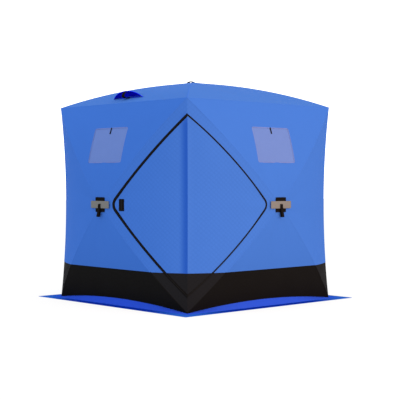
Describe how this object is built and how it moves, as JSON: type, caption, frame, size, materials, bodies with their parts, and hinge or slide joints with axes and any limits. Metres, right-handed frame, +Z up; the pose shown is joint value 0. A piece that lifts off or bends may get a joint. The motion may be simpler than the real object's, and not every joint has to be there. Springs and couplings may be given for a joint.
{
  "type": "pop-up hub ice fishing shelter",
  "caption": "Square pop-up ice fishing shelter: fabric walls and roof pushed out by hub rods, a zipped diamond corner door, wall windows, roof vents and a snow skirt.",
  "frame": {"origin": "on the ice, at the centre of the plan", "axes": "+Z up, -Y out of the front wall, +X out of the right wall; the door wraps the corner between them"},
  "size_m": [2.301, 2.301, 2.0535],
  "materials": {
    "wall_fabric": "woven polyester, soft sheen",
    "quilted_fabric": "fine diamond quilting",
    "roof_fabric": "woven polyester, soft sheen",
    "skirt_fabric": "woven polyester, matte",
    "band_fabric": "heavy woven polyester, matte",
    "window_film": "milky clear film",
    "zip": "matte",
    "black_webbing": "woven webbing",
    "grey_strip": "heavy woven strip",
    "fibreglass": "smooth pultruded rod",
    "hub_plastic": "moulded, fine texture"
  },
  "bodies": {
    "root": {"back_base_band": "band_fabric", "back_left_corner_band": "band_fabric", "back_left_corner_panel": "wall_fabric", "back_lower_panel": "wall_fabric", "back_right_corner_band": "band_fabric", "back_right_corner_panel": "wall_fabric", "back_roof_panel": "roof_fabric", "back_snow_skirt": "skirt_fabric", "back_window_panel": "wall_fabric", "door_kick_panel": "band_fabric", "door_panel": "quilted_fabric", "door_tab": "black_webbing", "door_zip": "zip", "front_base_band": "band_fabric", "front_left_corner_band": "band_fabric", "front_left_corner_panel": "wall_fabric", "front_lower_panel": "wall_fabric", "front_right_corner_band": "band_fabric", "front_right_corner_panel": "quilted_fabric", "front_roof_panel": "roof_fabric", "front_snow_skirt": "skirt_fabric", "front_window_panel": "wall_fabric", "ground_corner_joints": "hub_plastic", "hub_patches": "black_webbing", "hub_strips": "grey_strip", "left_base_band": "band_fabric", "left_lower_panel": "wall_fabric", "left_roof_panel": "roof_fabric", "left_snow_skirt": "skirt_fabric", "left_window_panel": "wall_fabric", "pull_handles": "black_webbing", "right_base_band": "band_fabric", "right_lower_panel": "wall_fabric", "right_roof_panel": "roof_fabric", "right_snow_skirt": "skirt_fabric", "right_window_panel": "wall_fabric", "roof_hub": "hub_plastic", "roof_poles": "fibreglass", "roof_pull_loop": "black_webbing", "top_corner_joints": "hub_plastic", "vent_hoods": "roof_fabric", "vent_props": "black_webbing", "wall_hubs": "hub_plastic", "wall_poles": "fibreglass", "window_toggles": "black_webbing", "windows": "window_film"}
  },
  "joints": []
}
